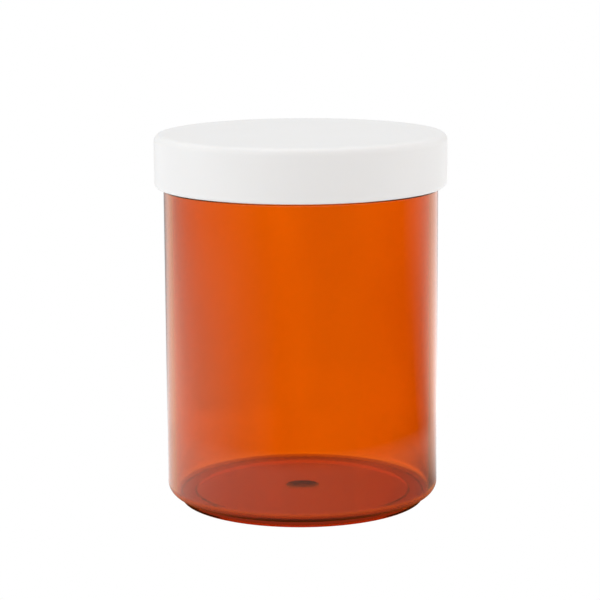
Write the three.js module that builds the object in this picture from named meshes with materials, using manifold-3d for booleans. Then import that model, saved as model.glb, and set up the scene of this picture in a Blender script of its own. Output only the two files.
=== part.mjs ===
// Prescription vial with a screw lid.
// Millimetres, +Z up. The origin is the centre of the circle that the foot stands on.

import * as THREE from 'three';
import { mergeVertices } from 'three/addons/utils/BufferGeometryUtils.js';
import Module from 'manifold-3d';

// Whole object
const OVERALL_HEIGHT = 84.1;
const SEGMENTS = 60;                // flats round every turned face
const ARC_DIVISIONS = 2;            // half the number of flats in a rounded edge
const GAP = 0.15;                   // between faces that rest on each other

// Lid
const LID_RADIUS = 33;
const LID_HEIGHT = 12;
const LID_SKIRT_WALL = 1.4;
const LID_TOP_WALL = 1.6;
const LID_TOP_ROUND = 1.6;
const LID_LOWER_ROUND = 1.1;
const LID_BORE = LID_RADIUS - LID_SKIRT_WALL;
const LID_LOWER_Z = OVERALL_HEIGHT - LID_HEIGHT;
const LID_CEILING_Z = OVERALL_HEIGHT - LID_TOP_WALL;

// Sealing disc under the lid's top
const DISC_THICKNESS = 1;
const DISC_RADIUS = LID_BORE - 0.3;
const DISC_EDGE = 0.15;
const DISC_TOP_Z = LID_CEILING_Z - GAP;
const DISC_BOTTOM_Z = DISC_TOP_Z - DISC_THICKNESS;

// Vial wall, with a slight draft that narrows it towards the foot
const BODY_TOP_RADIUS = 30.97;
const BODY_BASE_RADIUS = 30.9;
const BORE_TOP_RADIUS = 29.2;
const BORE_BASE_RADIUS = 29.1;
const BASE_ROUND = 2.8;             // outer edge of the base
const BORE_ROUND = 0.9;             // where the inner wall meets the floor

// Vial neck and rim
const NECK_RADIUS = 30.2;
const NECK_HEIGHT = 9.4;
const SHOULDER_ROUND = 0.35;
const RIM_ROUND = 0.3;
const RIM_Z = DISC_BOTTOM_Z - GAP;
const SHOULDER_Z = RIM_Z - NECK_HEIGHT;

// Vial base: a broad foot ring round a raised underside, thinned at the moulding gate in its middle
const FOOT_OUTER_RADIUS = 27.8;
const FOOT_INNER_RADIUS = 24.7;
const RECESS_RADIUS = 24.4;
const FOOT_HEIGHT = 1.4;
const FOOT_ROUND = 0.25;
const UNDERSIDE_Z = 1;
const FLOOR_Z = 2.6;
const GATE_RADIUS = 3.9;
const GATE_DEPTH = 0.5;             // into the underside
const DIMPLE_DEPTH = 0.65;          // into the floor above the gate
const BOWL = [0.5, 0.75];           // share of a dimple's radius and depth at its one step

// Screw thread, right-handed
const PITCH = 25.4 / 6;
const THREAD_TURNS = 1.25;
const THREAD_STEPS = 60;
const THREAD_RUN_OUT = 0.12;        // turns over which each end fades
const THREAD_END_SIZE = 0.25;       // size of each end, as a share of the full ridge
const THREAD_SINK = 0.4;            // how far a ridge reaches into its wall
const VIAL_THREAD = { reach: 1, rootWidth: 2, crestWidth: 1.1, startZ: SHOULDER_Z + 2.8, startTurn: 0 };
const LID_THREAD_LAG = 0.42;        // turns by which the lid's ridge starts after the vial's
const LID_THREAD = {
  reach: 1,
  rootWidth: 1.5,
  crestWidth: 0.8,
  startZ: VIAL_THREAD.startZ + (LID_THREAD_LAG - 0.5) * PITCH,
  startTurn: LID_THREAD_LAG,
};

const QUARTER = Math.PI / 2;
const wasm = await Module();
wasm.setup();

// A solid turned round the Z axis from an outline of (radius, height).
function turned(outline) {
  const geometry = new THREE.LatheGeometry(outline.getPoints(ARC_DIVISIONS), SEGMENTS);
  return geometry.rotateX(QUARTER);
}

// Manifold solid of a closed geometry, without the slivers that collapse on the axis.
function toSolid(geometry) {
  geometry.deleteAttribute('normal');
  geometry.deleteAttribute('uv');
  const merged = mergeVertices(geometry);
  const index = merged.index.array;
  const triangles = [];
  for (let i = 0; i < index.length; i += 3) {
    const [a, b, c] = index.slice(i, i + 3);
    if (a !== b && b !== c && c !== a) {
      triangles.push(a, b, c);
    }
  }
  return new wasm.Manifold(new wasm.Mesh({
    numProp: 3,
    vertProperties: new Float32Array(merged.attributes.position.array),
    triVerts: new Uint32Array(triangles),
  }));
}

function toGeometry(solid) {
  const mesh = solid.getMesh();
  const geometry = new THREE.BufferGeometry();
  geometry.setAttribute('position', new THREE.BufferAttribute(mesh.vertProperties, 3));
  geometry.setIndex(new THREE.BufferAttribute(mesh.triVerts, 1));
  geometry.computeVertexNormals();
  return geometry;
}

// A helical ridge on a wall of the given radius. It reaches outwards for side = 1, inwards for side = -1.
// The section lies across the ridge: x along the object's axis, y away from the wall.
function threadRidge(thread, wallRadius, side) {
  const section = new THREE.Shape();
  section.moveTo(-thread.rootWidth / 2, -THREAD_SINK);
  section.lineTo(thread.rootWidth / 2, -THREAD_SINK);
  section.lineTo(thread.rootWidth / 2, 0);
  section.lineTo(thread.crestWidth / 2, thread.reach);
  section.lineTo(-thread.crestWidth / 2, thread.reach);
  section.lineTo(-thread.rootWidth / 2, 0);
  section.closePath();
  const geometry = new THREE.ExtrudeGeometry(section, {
    depth: THREAD_TURNS,
    steps: THREAD_STEPS,
    bevelEnabled: false,
  });
  const position = geometry.attributes.position;
  for (let i = 0; i < position.count; i++) {
    const turn = position.getZ(i);
    const toEnd = Math.min(turn, THREAD_TURNS - turn);
    const size = Math.min(1, THREAD_END_SIZE + (1 - THREAD_END_SIZE) * toEnd / THREAD_RUN_OUT);
    const away = position.getY(i);
    const radius = wallRadius + side * (away > 0 ? away * size : away);
    const angle = (thread.startTurn + turn) * 2 * Math.PI;
    const height = thread.startZ + turn * PITCH + side * position.getX(i) * size;
    position.setXYZ(i, radius * Math.cos(angle), radius * Math.sin(angle), height);
  }
  return geometry;
}

function vialOutline() {
  const outline = new THREE.Path();
  outline.moveTo(0, UNDERSIDE_Z + GATE_DEPTH);
  outline.lineTo(GATE_RADIUS * BOWL[0], UNDERSIDE_Z + GATE_DEPTH * BOWL[1]);
  outline.lineTo(GATE_RADIUS, UNDERSIDE_Z);
  outline.lineTo(RECESS_RADIUS, UNDERSIDE_Z);
  outline.lineTo(FOOT_INNER_RADIUS, 0);
  outline.absarc(FOOT_OUTER_RADIUS - FOOT_ROUND, FOOT_ROUND, FOOT_ROUND, -QUARTER, 0);
  outline.lineTo(FOOT_OUTER_RADIUS, FOOT_HEIGHT);
  outline.absarc(BODY_BASE_RADIUS - BASE_ROUND, FOOT_HEIGHT + BASE_ROUND, BASE_ROUND, -QUARTER, 0);
  outline.absarc(BODY_TOP_RADIUS - SHOULDER_ROUND, SHOULDER_Z - SHOULDER_ROUND, SHOULDER_ROUND, 0, QUARTER);
  outline.lineTo(NECK_RADIUS, SHOULDER_Z);
  outline.absarc(NECK_RADIUS - RIM_ROUND, RIM_Z - RIM_ROUND, RIM_ROUND, 0, QUARTER);
  outline.absarc(BORE_TOP_RADIUS + RIM_ROUND, RIM_Z - RIM_ROUND, RIM_ROUND, QUARTER, 2 * QUARTER);
  outline.absarc(BORE_BASE_RADIUS - BORE_ROUND, FLOOR_Z + BORE_ROUND, BORE_ROUND, 0, -QUARTER, true);
  outline.lineTo(GATE_RADIUS, FLOOR_Z);
  outline.lineTo(GATE_RADIUS * BOWL[0], FLOOR_Z - DIMPLE_DEPTH * BOWL[1]);
  outline.lineTo(0, FLOOR_Z - DIMPLE_DEPTH);
  return outline;
}

function vialGeometry() {
  const wall = toSolid(turned(vialOutline()));
  const thread = toSolid(threadRidge(VIAL_THREAD, NECK_RADIUS, 1));
  return toGeometry(wall.add(thread));
}

function lidOutline() {
  const innerEdge = LID_SKIRT_WALL - LID_LOWER_ROUND;
  const outline = new THREE.Path();
  outline.moveTo(0, LID_CEILING_Z);
  outline.lineTo(LID_BORE, LID_CEILING_Z);
  outline.lineTo(LID_BORE, LID_LOWER_Z + innerEdge);
  outline.lineTo(LID_BORE + innerEdge, LID_LOWER_Z);
  outline.absarc(LID_RADIUS - LID_LOWER_ROUND, LID_LOWER_Z + LID_LOWER_ROUND, LID_LOWER_ROUND, -QUARTER, 0);
  outline.absarc(LID_RADIUS - LID_TOP_ROUND, OVERALL_HEIGHT - LID_TOP_ROUND, LID_TOP_ROUND, 0, QUARTER);
  outline.lineTo(0, OVERALL_HEIGHT);
  return outline;
}

function lidGeometry() {
  const shell = toSolid(turned(lidOutline()));
  const thread = toSolid(threadRidge(LID_THREAD, LID_BORE, -1));
  return toGeometry(shell.add(thread));
}

function discGeometry() {
  const outline = new THREE.Path();
  outline.moveTo(0, DISC_BOTTOM_Z);
  outline.lineTo(DISC_RADIUS - DISC_EDGE, DISC_BOTTOM_Z);
  outline.lineTo(DISC_RADIUS, DISC_BOTTOM_Z + DISC_EDGE);
  outline.lineTo(DISC_RADIUS, DISC_TOP_Z - DISC_EDGE);
  outline.lineTo(DISC_RADIUS - DISC_EDGE, DISC_TOP_Z);
  outline.lineTo(0, DISC_TOP_Z);
  return toGeometry(toSolid(turned(outline)));
}

function amberPlastic() {
  return new THREE.MeshStandardMaterial({ color: 0xdc5206, roughness: 0.12, metalness: 0 });
}

function whitePlastic() {
  return new THREE.MeshStandardMaterial({ color: 0xf0f0ef, roughness: 0.4, metalness: 0 });
}

function whiteFoam() {
  return new THREE.MeshStandardMaterial({ color: 0xeceae4, roughness: 0.85, metalness: 0 });
}

function piece(name, geometry, material) {
  const mesh = new THREE.Mesh(geometry, material);
  mesh.name = name;
  return mesh;
}

const vial = new THREE.Group();
vial.add(piece('vial_body', vialGeometry(), amberPlastic()));
vial.add(piece('sealing_disc', discGeometry(), whiteFoam()));
vial.add(piece('screw_lid', lidGeometry(), whitePlastic()));

export default vial;
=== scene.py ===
"""A prescription vial with a screw lid: fine surfaces, materials, studio and camera."""
from math import cos, pi, radians, sin, tau

import bmesh
import bpy
from mathutils import Matrix, Vector


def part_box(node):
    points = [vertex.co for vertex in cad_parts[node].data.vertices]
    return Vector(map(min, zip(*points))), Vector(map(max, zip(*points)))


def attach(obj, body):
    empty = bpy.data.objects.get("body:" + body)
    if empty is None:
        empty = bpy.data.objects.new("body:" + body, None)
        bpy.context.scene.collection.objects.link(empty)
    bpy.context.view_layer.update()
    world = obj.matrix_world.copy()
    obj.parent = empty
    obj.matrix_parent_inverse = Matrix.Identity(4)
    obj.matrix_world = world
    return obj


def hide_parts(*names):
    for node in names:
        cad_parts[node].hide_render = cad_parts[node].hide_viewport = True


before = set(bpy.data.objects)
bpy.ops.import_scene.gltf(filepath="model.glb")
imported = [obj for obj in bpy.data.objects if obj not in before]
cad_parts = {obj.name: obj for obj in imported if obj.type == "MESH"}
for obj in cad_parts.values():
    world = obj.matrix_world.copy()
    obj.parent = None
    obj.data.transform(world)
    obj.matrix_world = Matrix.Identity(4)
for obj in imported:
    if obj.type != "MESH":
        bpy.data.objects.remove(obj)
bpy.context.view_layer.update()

# ---------------------------------------------------------------- sizes, in metres
MM = 0.001
SEGMENTS = 288                      # flats round a turned surface
ARC_STEPS = 12                      # flats in a rounded edge
GUARD = 0.06 * MM                   # the short flats that keep an edge's shading off its long neighbours

lid_low, lid_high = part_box("screw_lid")
disc_low, disc_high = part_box("sealing_disc")
vial_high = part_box("vial_body")[1]

LID_RADIUS = lid_high[0]
LID_TOP_Z = lid_high[2]
LID_LOWER_Z = lid_low[2]
LID_SKIRT_WALL = 1.4 * MM
LID_TOP_WALL = 1.6 * MM
LID_TOP_ROUND = 1.6 * MM
LID_LOWER_ROUND = 1.1 * MM
LID_BORE = LID_RADIUS - LID_SKIRT_WALL
LID_CEILING_Z = LID_TOP_Z - LID_TOP_WALL

BODY_TOP_RADIUS = 30.97 * MM
BODY_BASE_RADIUS = 30.9 * MM
BORE_TOP_RADIUS = 29.2 * MM
BORE_BASE_RADIUS = 29.1 * MM
BASE_ROUND = 2.8 * MM
BORE_ROUND = 0.9 * MM
NECK_RADIUS = 30.2 * MM
NECK_HEIGHT = 9.4 * MM
SHOULDER_ROUND = 0.35 * MM
RIM_ROUND = 0.3 * MM
RIM_Z = vial_high[2]
SHOULDER_Z = RIM_Z - NECK_HEIGHT
FOOT_OUTER_RADIUS = 27.8 * MM
FOOT_INNER_RADIUS = 24.7 * MM
RECESS_RADIUS = 24.4 * MM
FOOT_HEIGHT = 1.4 * MM
FOOT_ROUND = 0.25 * MM
UNDERSIDE_Z = 1.0 * MM
FLOOR_Z = 2.6 * MM
GATE_RADIUS = 3.9 * MM
GATE_DEPTH = 0.5 * MM
DIMPLE_DEPTH = 0.65 * MM

DISC_EDGE = 0.15 * MM

PITCH = 25.4 / 6 * MM
THREAD_TURNS = 1.25
THREAD_LAPS = 3                     # whole laps that a ridge may touch
THREAD_RUN_OUT = 0.12               # turns over which each end fades
THREAD_REACH = 1 * MM
THREAD_RING = 0.16 * MM             # height of one flat on a threaded wall
LID_THREAD_LAG = 0.42               # turns by which the lid's ridge starts after the vial's
VIAL_THREAD = {"start_z": SHOULDER_Z + 2.8 * MM, "start_turn": 0, "root": 2 * MM, "crest": 1.1 * MM}
LID_THREAD = {
    "start_z": VIAL_THREAD["start_z"] + (LID_THREAD_LAG - 0.5) * PITCH,
    "start_turn": LID_THREAD_LAG,
    "root": 1.5 * MM,
    "crest": 0.8 * MM,
}


# ---------------------------------------------------------------- camera
CAMERA_LENS = 139.6                 # mm, on a sensor 36 mm wide
CAMERA_SENSOR = 36
CAMERA_SHIFT = -0.0024
CAMERA_DISTANCE = 0.5216
CAMERA_HEIGHT = 0.1399
CAMERA_PITCH = radians(10.23)       # down from level
CAMERA_ROLL = radians(-0.32)


def make_camera():
    data = bpy.data.cameras.new("camera")
    data.sensor_width = CAMERA_SENSOR
    data.lens = CAMERA_LENS
    data.shift_x = CAMERA_SHIFT
    camera = bpy.data.objects.new("camera", data)
    tilt = Matrix.Rotation(pi / 2 - CAMERA_PITCH, 4, "X") @ Matrix.Rotation(CAMERA_ROLL, 4, "Z")
    camera.matrix_world = Matrix.Translation((0, -CAMERA_DISTANCE, CAMERA_HEIGHT)) @ tilt
    bpy.context.scene.collection.objects.link(camera)
    bpy.context.scene.camera = camera


make_camera()


# ---------------------------------------------------------------- turned surfaces
def arc(centre_r, centre_z, radius, start, end):
    """Points of a rounded edge. Angles in degrees: 0 points away from the axis, 90 points up."""
    angles = [radians(start + (end - start) * i / ARC_STEPS) for i in range(ARC_STEPS + 1)]
    return [(centre_r + radius * cos(a), centre_z + radius * sin(a)) for a in angles]


def guarded(outline):
    """The outline with a short flat at each end of every long one."""
    points = [outline[0]]
    for (r0, z0), (r1, z1) in zip(outline, outline[1:]):
        length = ((r1 - r0) ** 2 + (z1 - z0) ** 2) ** 0.5
        if length > 4 * GUARD:
            for share in (GUARD / length, 1 - GUARD / length):
                points.append((r0 + (r1 - r0) * share, z0 + (z1 - z0) * share))
        points.append((r1, z1))
    return points


def smooth_step(x):
    x = min(max(x, 0), 1)
    return x * x * (3 - 2 * x)


def ridge_height(thread, angle, z):
    """How far a helical ridge stands off its wall at this angle and height."""
    first = thread["start_turn"]
    best = 0
    for lap in range(THREAD_LAPS):
        along = angle / tau + lap - first
        if not 0 <= along <= THREAD_TURNS:
            continue
        fade = smooth_step(min(along, THREAD_TURNS - along) / THREAD_RUN_OUT)
        across = abs(z - thread["start_z"] - along * PITCH)
        flank = (thread["root"] / 2 - across) / (thread["root"] / 2 - thread["crest"] / 2)
        best = max(best, THREAD_REACH * fade * smooth_step(flank))
    return best


def turned(name, outline, wall=None, thread=None, side=1):
    """A closed solid turned round Z from (radius, height) points, bottom to top outside and back down
    inside. Points whose radius is wall carry the thread, outwards for side 1 and inwards for side -1."""
    bm = bmesh.new()
    rings = []
    for r, z in outline:
        if r == 0:
            rings.append([bm.verts.new((0, 0, z))] * SEGMENTS)
            continue
        ring = []
        for i in range(SEGMENTS):
            angle = tau * i / SEGMENTS
            reach = ridge_height(thread, angle, z) if r == wall else 0
            ring.append(bm.verts.new(((r + side * reach) * cos(angle), (r + side * reach) * sin(angle), z)))
        rings.append(ring)
    for low, high in zip(rings, rings[1:]):
        for i in range(SEGMENTS):
            j = (i + 1) % SEGMENTS
            corners = []
            for vert in (low[i], low[j], high[j], high[i]):
                if vert not in corners:
                    corners.append(vert)
            bm.faces.new(corners)
    for face in bm.faces:
        face.smooth = True
    mesh = bpy.data.meshes.new(name)
    bm.to_mesh(mesh)
    bm.free()
    piece = bpy.data.objects.new(name, mesh)
    bpy.context.scene.collection.objects.link(piece)
    return piece


def threaded_wall(radius, start_z, end_z):
    """Points up or down a wall, close enough together to carry a thread."""
    steps = round(abs(end_z - start_z) / THREAD_RING)
    return [(radius, start_z + (end_z - start_z) * i / steps) for i in range(steps + 1)]


# ---------------------------------------------------------------- node helpers
def new_material(name):
    material = bpy.data.materials.new(name)
    material.use_nodes = True
    material.node_tree.nodes.clear()
    return material, material.node_tree


def add(tree, kind, **settings):
    """A node with its own settings, and inputs named with an underscore for each space."""
    node = tree.nodes.new(kind)
    for key, value in settings.items():
        if hasattr(node, key):
            setattr(node, key, value)
        else:
            node.inputs[key.replace("_", " ")].default_value = value
    return node


def noise(tree, coordinates, scale, detail=3, roughness=0.5, stretch=(1, 1, 1)):
    """Smooth noise. A smaller stretch makes it longer that way."""
    mapping = add(tree, "ShaderNodeMapping", Scale=stretch)
    tree.links.new(coordinates, mapping.inputs["Vector"])
    texture = add(tree, "ShaderNodeTexNoise", Scale=scale, Detail=detail, Roughness=roughness)
    tree.links.new(mapping.outputs["Vector"], texture.inputs["Vector"])
    return texture.outputs["Fac"]


def remap(tree, value, low, high, from_low=0.3, from_high=0.7):
    """Low to high as the value goes from from_low to from_high, which is about noise's own range."""
    node = add(tree, "ShaderNodeMapRange", From_Min=from_low, From_Max=from_high, To_Min=low, To_Max=high)
    tree.links.new(value, node.inputs["Value"])
    return node.outputs["Result"]


def maths(tree, operation, a, b=None):
    node = tree.nodes.new("ShaderNodeMath")
    node.operation = operation
    for socket, value in zip(node.inputs, (a, b)):
        if value is None:
            continue
        if isinstance(value, (int, float)):
            socket.default_value = value
        else:
            tree.links.new(value, socket)
    return node.outputs["Value"]


def bump(tree, height, distance):
    node = add(tree, "ShaderNodeBump", Strength=1, Distance=distance)
    tree.links.new(height, node.inputs["Height"])
    return node.outputs["Normal"]


def mix_colour(tree, share, a, b):
    node = add(tree, "ShaderNodeMix", data_type="RGBA", A=(*a, 1), B=(*b, 1))
    tree.links.new(share, node.inputs["Factor"])
    return node.outputs["Result"]


def to_output(tree, surface, volume=None, kind="ShaderNodeOutputMaterial"):
    output = tree.nodes.new(kind)
    tree.links.new(surface, output.inputs["Surface"])
    if volume is not None:
        tree.links.new(volume, output.inputs["Volume"])


def object_coordinates(tree):
    return tree.nodes.new("ShaderNodeTexCoord").outputs["Object"]


# ---------------------------------------------------------------- materials
AMBER_IOR = 1.58
AMBER_TINTS = ((0.954, 0.44, 0.14), (1, 0.48, 0.16))
AMBER_ABSORPTION = (0.915, 0.81, 0.136)
AMBER_DENSITY = 1400                # per metre
AMBER_ROUGHNESS = (0.015, 0.05)     # from polished to scuffed
FLOW_DEPTH = 0.05 * MM

WHITE_IOR = 1.49
WHITE_TINTS = ((0.86, 0.86, 0.855), (0.885, 0.885, 0.885))
WHITE_ROUGHNESS = (0.32, 0.42)
TRANSLUCENCE = 0.2
SCATTER_RADIUS = (1, 0.9, 0.8)      # millimetres, for red, green and blue
GRAIN_DEPTH = 0.01 * MM

FOAM_TINTS = ((0.80, 0.79, 0.76), (0.88, 0.875, 0.85))
FOAM_ROUGHNESS = 0.85
CELL_DEPTH = 0.08 * MM


def amber_plastic():
    """Clear orange moulded plastic: polished and a little cloudy, with faint flow lines and scuffs."""
    material, tree = new_material("amber_plastic")
    place = object_coordinates(tree)
    flow = noise(tree, place, scale=60, detail=2, roughness=0.4, stretch=(1, 1, 0.25))
    scuffs = noise(tree, place, scale=900, detail=4, roughness=0.7, stretch=(1, 1, 0.2))
    cloud = noise(tree, place, scale=45, detail=2, roughness=0.5, stretch=(1, 1, 0.6))
    shader = add(tree, "ShaderNodeBsdfPrincipled", IOR=AMBER_IOR, Transmission_Weight=1)
    tree.links.new(mix_colour(tree, remap(tree, cloud, 0, 1), *AMBER_TINTS), shader.inputs["Base Color"])
    tree.links.new(remap(tree, scuffs, *AMBER_ROUGHNESS), shader.inputs["Roughness"])
    tree.links.new(bump(tree, flow, FLOW_DEPTH), shader.inputs["Normal"])
    depth = add(tree, "ShaderNodeVolumeAbsorption", Color=(*AMBER_ABSORPTION, 1), Density=AMBER_DENSITY)
    to_output(tree, shader.outputs["BSDF"], depth.outputs["Volume"])
    return material


def white_plastic():
    """Satin white moulded plastic, slightly translucent."""
    material, tree = new_material("white_plastic")
    place = object_coordinates(tree)
    cloud = noise(tree, place, scale=70)
    grain = noise(tree, place, scale=3000, roughness=0.6)
    shader = add(tree, "ShaderNodeBsdfPrincipled", IOR=WHITE_IOR, Subsurface_Weight=TRANSLUCENCE,
                 Subsurface_Radius=SCATTER_RADIUS, Subsurface_Scale=MM)
    tree.links.new(mix_colour(tree, cloud, *WHITE_TINTS), shader.inputs["Base Color"])
    tree.links.new(remap(tree, grain, *WHITE_ROUGHNESS), shader.inputs["Roughness"])
    tree.links.new(bump(tree, grain, GRAIN_DEPTH), shader.inputs["Normal"])
    to_output(tree, shader.outputs["BSDF"])
    return material


def white_foam():
    """Closed-cell foam: matt, with fine cells."""
    material, tree = new_material("white_foam")
    place = object_coordinates(tree)
    cells = add(tree, "ShaderNodeTexVoronoi", Scale=2500)
    tree.links.new(place, cells.inputs["Vector"])
    tone = noise(tree, place, scale=300)
    shader = add(tree, "ShaderNodeBsdfPrincipled", Roughness=FOAM_ROUGHNESS)
    tree.links.new(mix_colour(tree, tone, *FOAM_TINTS), shader.inputs["Base Color"])
    tree.links.new(bump(tree, cells.outputs["Distance"], CELL_DEPTH), shader.inputs["Normal"])
    to_output(tree, shader.outputs["BSDF"])
    return material


# ---------------------------------------------------------------- pieces
def finish_piece(piece, node, body, material):
    piece.data.materials.append(material)
    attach(piece, body)
    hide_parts(node)


def make_vial():
    span = [i / ARC_STEPS for i in range(ARC_STEPS + 1)]
    bowl = [(GATE_RADIUS * share, 1 - share ** 2) for share in span]
    outline = [(r, UNDERSIDE_Z + GATE_DEPTH * share) for r, share in bowl]
    outline += [(RECESS_RADIUS, UNDERSIDE_Z), (FOOT_INNER_RADIUS, 0)]
    outline += arc(FOOT_OUTER_RADIUS - FOOT_ROUND, FOOT_ROUND, FOOT_ROUND, -90, 0)
    outline += [(FOOT_OUTER_RADIUS, FOOT_HEIGHT)]
    outline += arc(BODY_BASE_RADIUS - BASE_ROUND, FOOT_HEIGHT + BASE_ROUND, BASE_ROUND, -90, 0)
    outline += arc(BODY_TOP_RADIUS - SHOULDER_ROUND, SHOULDER_Z - SHOULDER_ROUND, SHOULDER_ROUND, 0, 90)
    outline = guarded(outline)
    outline += threaded_wall(NECK_RADIUS, SHOULDER_Z, RIM_Z - RIM_ROUND)
    inside = arc(NECK_RADIUS - RIM_ROUND, RIM_Z - RIM_ROUND, RIM_ROUND, 0, 90)[1:]
    inside += arc(BORE_TOP_RADIUS + RIM_ROUND, RIM_Z - RIM_ROUND, RIM_ROUND, 90, 180)
    inside += arc(BORE_BASE_RADIUS - BORE_ROUND, FLOOR_Z + BORE_ROUND, BORE_ROUND, 0, -90)
    inside += [(r, FLOOR_Z - DIMPLE_DEPTH * share) for r, share in reversed(bowl)]
    outline += guarded(inside)
    piece = turned("moulded_vial", outline, NECK_RADIUS, VIAL_THREAD, 1)
    finish_piece(piece, "vial_body", "vial", amber_plastic())


def make_lid():
    inner_edge = LID_SKIRT_WALL - LID_LOWER_ROUND
    outline = [(0, LID_CEILING_Z), (LID_BORE - GUARD, LID_CEILING_Z)]
    outline += threaded_wall(LID_BORE, LID_CEILING_Z, LID_LOWER_Z + inner_edge)
    outline += guarded([(LID_BORE, LID_LOWER_Z + inner_edge), (LID_BORE + inner_edge, LID_LOWER_Z)])[1:]
    outside = arc(LID_RADIUS - LID_LOWER_ROUND, LID_LOWER_Z + LID_LOWER_ROUND, LID_LOWER_ROUND, -90, 0)
    outside += arc(LID_RADIUS - LID_TOP_ROUND, LID_TOP_Z - LID_TOP_ROUND, LID_TOP_ROUND, 0, 90)
    outside += [(0, LID_TOP_Z)]
    outline += guarded(outside)[1:]
    piece = turned("white_lid", outline, LID_BORE, LID_THREAD, -1)
    finish_piece(piece, "screw_lid", "lid", white_plastic())


def make_disc():
    radius = disc_high[0]
    low, high = disc_low[2], disc_high[2]
    outline = [(0, low)]
    outline += arc(radius - DISC_EDGE, low + DISC_EDGE, DISC_EDGE, -90, 0)
    outline += arc(radius - DISC_EDGE, high - DISC_EDGE, DISC_EDGE, 0, 90)
    outline += [(0, high)]
    piece = turned("foam_disc", guarded(outline))
    finish_piece(piece, "sealing_disc", "disc", white_foam())


make_vial()
make_lid()
make_disc()


# ---------------------------------------------------------------- studio
# What the plastic mirrors, and shows through its walls: brightness by direction round the vial, in
# degrees from the front, where negative is the left. It is dark in front and on the right, and bright
# on the left and behind. The floor has a list for close by, one for further out and one for far off,
# and the world shares the last.
NEAR = [
    (-180, 1.4), (-172, 1.4), (-160, 1.25), (-140, 1.12), (-120, 1.1), (-90, 1.0), (-45, 0.7), (0, 0.45),
    (60, 0.3), (100, 0.3), (120, 0.75), (140, 1.2), (155, 1.34), (165, 1.34), (180, 1.4),
]
MIDDLE = [
    (-180, 1.4), (-170, 1.28), (-160, 1.0), (-150, 1.2), (-128, 1.2), (-100, 0.93), (-72, 0.6),
    (-45, 0.18), (-18, 0), (100, 0), (114, 0.24), (126, 0.8), (140, 1.34), (152, 1.46), (164, 1.4),
    (172, 1.3), (178, 1.3), (180, 1.4),
]
FAR = [
    (-180, 1.4), (-170, 1.28), (-160, 1.0), (-142, 1.09), (-124, 0.73), (-102, 0.47), (-81, 0.27),
    (-56, 0.11), (-30, 0), (90, 0), (106, 0.23), (122, 0.62), (139, 1.05), (160, 1.3), (178, 1.3),
    (180, 1.4),
]
# Share of the floor's brightness that the vial's outside mirrors; its edges mirror what is behind it.
GRAZING = [(-180, 0.36), (-165, 0.4), (-156, 0.66), (-147, 1), (155, 1), (165, 0.5), (180, 0.36)]
# Brighter levels for light that passes through without any reflection: in front, and far off behind.
AHEAD = [
    (-180, 0), (-140, 0), (-112, 0.7), (-80, 1.1), (0, 1.2), (80, 1.1), (100, 0.7), (118, 0.3), (135, 0),
]
BACKDROP = [
    (-180, 1.4), (-178.8, 1.5), (-177.2, 1.42), (-173.5, 1.48), (-169, 1.4), (-160, 1.05), (-150, 0),
    (135, 0), (140, 1.15), (151, 1.37), (158, 1.54), (165, 1.6), (170, 1.56), (175, 1.42), (178, 1.3),
    (180, 1.4),
]
BRIGHTEST = 1.6                     # the highest of these levels
NEAR_TO_MIDDLE = (0.082, 0.102)     # distance from the axis over which one list gives way to the next
MIDDLE_TO_FAR = (0.16, 0.48)

PLAIN = 1.0                         # the white that the camera sees
ROOM = 0.64                         # what lights the lid from all round
PAINTED_SHADE_UNDER_VIAL = (0.05, 0.05, 0.05)     # painted shade: a dark floor colour that stands in for the vial's shadow under it
PAINTED_AMBER_LIGHT = (0.33, 0.065, 0.002)   # painted light: an amber glow that stands in for the light that came through the plastic
CONTACT_SHADE = (29 * MM, 38 * MM)  # distance from the axis over which the painted shade under the vial ends
FLOOR_SIZE = 3.0
FLOOR_CELLS = 8
FLOOR_DROP = 0.05 * MM              # keeps the foot ring off the floor's own plane

SOFTBOX_AIM = Vector((0, 0, 0.05))  # a little above the vial's middle
WHITE = (1, 1, 1)
WARM = (1, 0.6, 0.35)
SOFTBOXES = [                       # name, place, width and height, watts, colour
    ("softbox_left", (-0.68, -0.18, 0.35), (0.6, 0.5), 1.5, WHITE),
    ("softbox_right", (0.7, 0.1, 0.35), (0.6, 0.5), 0.9, WHITE),
    ("softbox_top", (0, 0.1, 0.8), (0.6, 0.6), 1.8, WHITE),
    ("warm_fill", (0.45, -0.7, 0.3), (0.4, 0.3), 0.35, WARM),
]


def around(tree, vector):
    """Share of a full turn from straight behind, by the left, the front and the right, back to 1."""
    parts = tree.nodes.new("ShaderNodeSeparateXYZ")
    tree.links.new(vector, parts.inputs["Vector"])
    forwards = maths(tree, "MULTIPLY", parts.outputs["Y"], -1)
    angle = maths(tree, "ARCTAN2", parts.outputs["X"], forwards)
    return maths(tree, "ADD", maths(tree, "DIVIDE", angle, tau), 0.5)


def surroundings(tree, direction, levels):
    """The level that a list gives for this direction."""
    ramp = tree.nodes.new("ShaderNodeValToRGB")
    stops = ramp.color_ramp.elements
    while len(stops) < len(levels):
        stops.new(0.5)
    for stop, (angle, level) in zip(stops, levels):
        share = level / BRIGHTEST
        stop.position = angle / 360 + 0.5
        stop.color = (share, share, share, 1)
    tree.links.new(direction, ramp.inputs["Fac"])
    return maths(tree, "MULTIPLY", ramp.outputs["Color"], BRIGHTEST)


def blend(tree, share, a, b):
    """a where share is 0, b where it is 1."""
    return maths(tree, "ADD", maths(tree, "MULTIPLY", share, b),
                 maths(tree, "MULTIPLY", maths(tree, "SUBTRACT", 1, share), a))


def seen_straight(tree, rays, direction, level, levels):
    """The level, or a brighter one for light that passes through the plastic without any reflection."""
    unreflected = maths(tree, "LESS_THAN", rays.outputs["Glossy Depth"], 0.5)
    straight = maths(tree, "MULTIPLY", unreflected, rays.outputs["Is Transmission Ray"])
    brighter = maths(tree, "MULTIPLY", straight, surroundings(tree, direction, levels))
    return maths(tree, "MAXIMUM", level, brighter)


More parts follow.
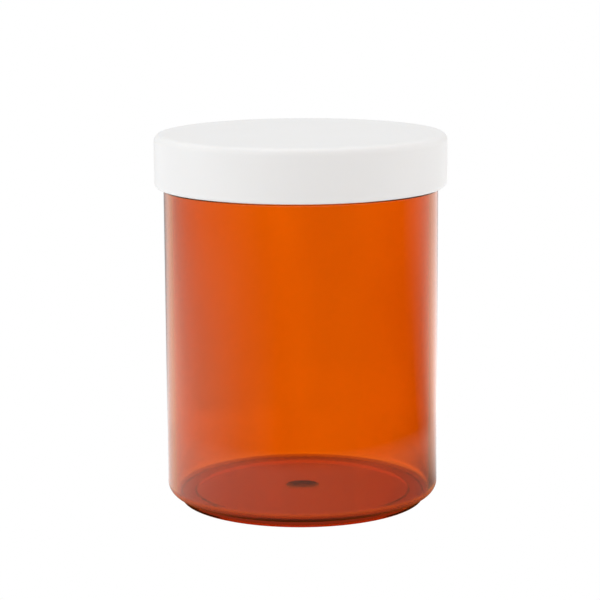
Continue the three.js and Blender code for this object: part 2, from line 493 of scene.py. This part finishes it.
def mix_shader(tree, factor, a, b):
    node = tree.nodes.new("ShaderNodeMixShader")
    for socket, value in zip(node.inputs, (factor, a, b)):
        tree.links.new(value, socket)
    return node.outputs["Shader"]


def shown_floor(tree, rays, place, distance):
    """How bright the plastic shows the floor at this place."""
    direction = around(tree, place)
    near, middle, far = [surroundings(tree, direction, levels) for levels in (NEAR, MIDDLE, FAR)]
    far = seen_straight(tree, rays, direction, far, BACKDROP)
    level = blend(tree, remap(tree, distance, 0, 1, *MIDDLE_TO_FAR), middle, far)
    level = blend(tree, remap(tree, distance, 0, 1, *NEAR_TO_MIDDLE), near, level)
    outside = maths(tree, "SUBTRACT", 1, rays.outputs["Is Transmission Ray"])
    mirrored = maths(tree, "MULTIPLY", rays.outputs["Is Glossy Ray"], outside)
    share = blend(tree, mirrored, 1, surroundings(tree, direction, GRAZING))
    return seen_straight(tree, rays, direction, maths(tree, "MULTIPLY", level, share), AHEAD)


def floor_under_vial(tree):
    """Floor under the vial with painted shade, a dark colour, and painted amber light, a glow, which stand
    in for the vial's shadow and the light that comes through its base.
    """
    # painted shade: a dark diffuse colour; painted light: an amber glow
    lit = add(tree, "ShaderNodeBsdfDiffuse", Color=(*PAINTED_SHADE_UNDER_VIAL, 1))
    glow = add(tree, "ShaderNodeEmission", Color=(*PAINTED_AMBER_LIGHT, 1), Strength=1)
    both = tree.nodes.new("ShaderNodeAddShader")
    tree.links.new(lit.outputs["BSDF"], both.inputs[0])
    tree.links.new(glow.outputs["Emission"], both.inputs[1])
    return both.outputs["Shader"]


def floor_material():
    """The camera sees the floor plain white, and the plastic shows it with its own brightness."""
    material, tree = new_material("floor")
    place = object_coordinates(tree)
    distance = add(tree, "ShaderNodeVectorMath", operation="LENGTH")
    tree.links.new(place, distance.inputs[0])
    distance = distance.outputs["Value"]
    rays = tree.nodes.new("ShaderNodeLightPath")
    plain = add(tree, "ShaderNodeEmission", Strength=PLAIN).outputs["Emission"]
    shown = add(tree, "ShaderNodeEmission")
    tree.links.new(shown_floor(tree, rays, place, distance), shown.inputs["Strength"])
    by_plastic = maths(tree, "MAXIMUM", rays.outputs["Is Glossy Ray"], rays.outputs["Is Transmission Ray"])
    shade = mix_shader(tree, by_plastic, plain, shown.outputs["Emission"])
    # within this distance the floor shows painted shade and painted amber light under the vial
    open_floor = remap(tree, distance, 0, 1, *CONTACT_SHADE)
    shade = mix_shader(tree, open_floor, floor_under_vial(tree), shade)
    to_output(tree, mix_shader(tree, rays.outputs["Is Camera Ray"], shade, plain))
    return material


def make_floor():
    bm = bmesh.new()
    bmesh.ops.create_grid(bm, x_segments=FLOOR_CELLS, y_segments=FLOOR_CELLS, size=FLOOR_SIZE / 2)
    mesh = bpy.data.meshes.new("floor")
    bm.to_mesh(mesh)
    bm.free()
    floor = bpy.data.objects.new("floor", mesh)
    floor.location.z = -FLOOR_DROP
    floor.data.materials.append(floor_material())
    bpy.context.scene.collection.objects.link(floor)


def make_world():
    """Seen plain white; the plastic shows the far surroundings, and everything else is lit evenly."""
    world = bpy.data.worlds.new("studio")
    world.use_nodes = True
    tree = world.node_tree
    tree.nodes.clear()
    direction = around(tree, tree.nodes.new("ShaderNodeTexCoord").outputs["Generated"])
    rays = tree.nodes.new("ShaderNodeLightPath")
    room, plain, shown = [
        add(tree, "ShaderNodeBackground", Color=(*WHITE, 1), Strength=strength)
        for strength in (ROOM, PLAIN, 1)
    ]
    level = seen_straight(tree, rays, direction, surroundings(tree, direction, FAR), BACKDROP)
    level = seen_straight(tree, rays, direction, level, AHEAD)
    tree.links.new(level, shown.inputs["Strength"])
    shade = mix_shader(tree, rays.outputs["Is Transmission Ray"], room.outputs["Background"],
                       shown.outputs["Background"])
    shade = mix_shader(tree, rays.outputs["Is Camera Ray"], shade, plain.outputs["Background"])
    to_output(tree, shade, kind="ShaderNodeOutputWorld")
    bpy.context.scene.world = world


def make_softbox(name, location, size, power, colour):
    data = bpy.data.lights.new(name, "AREA")
    data.shape = "RECTANGLE"
    data.size, data.size_y = size
    data.energy = power
    data.color = colour
    light = bpy.data.objects.new(name, data)
    light.location = location
    facing = SOFTBOX_AIM - Vector(location)
    light.rotation_euler = facing.to_track_quat("-Z", "Y").to_euler()
    light.visible_camera = False
    light.visible_glossy = False
    bpy.context.scene.collection.objects.link(light)


make_floor()
make_world()
for softbox in SOFTBOXES:
    make_softbox(*softbox)

scene = bpy.context.scene
scene.view_settings.view_transform = "Standard"
scene.cycles.max_bounces = 24
scene.cycles.transmission_bounces = 20
scene.cycles.glossy_bounces = 12
scene.cycles.diffuse_bounces = 5
scene.cycles.use_denoising = True
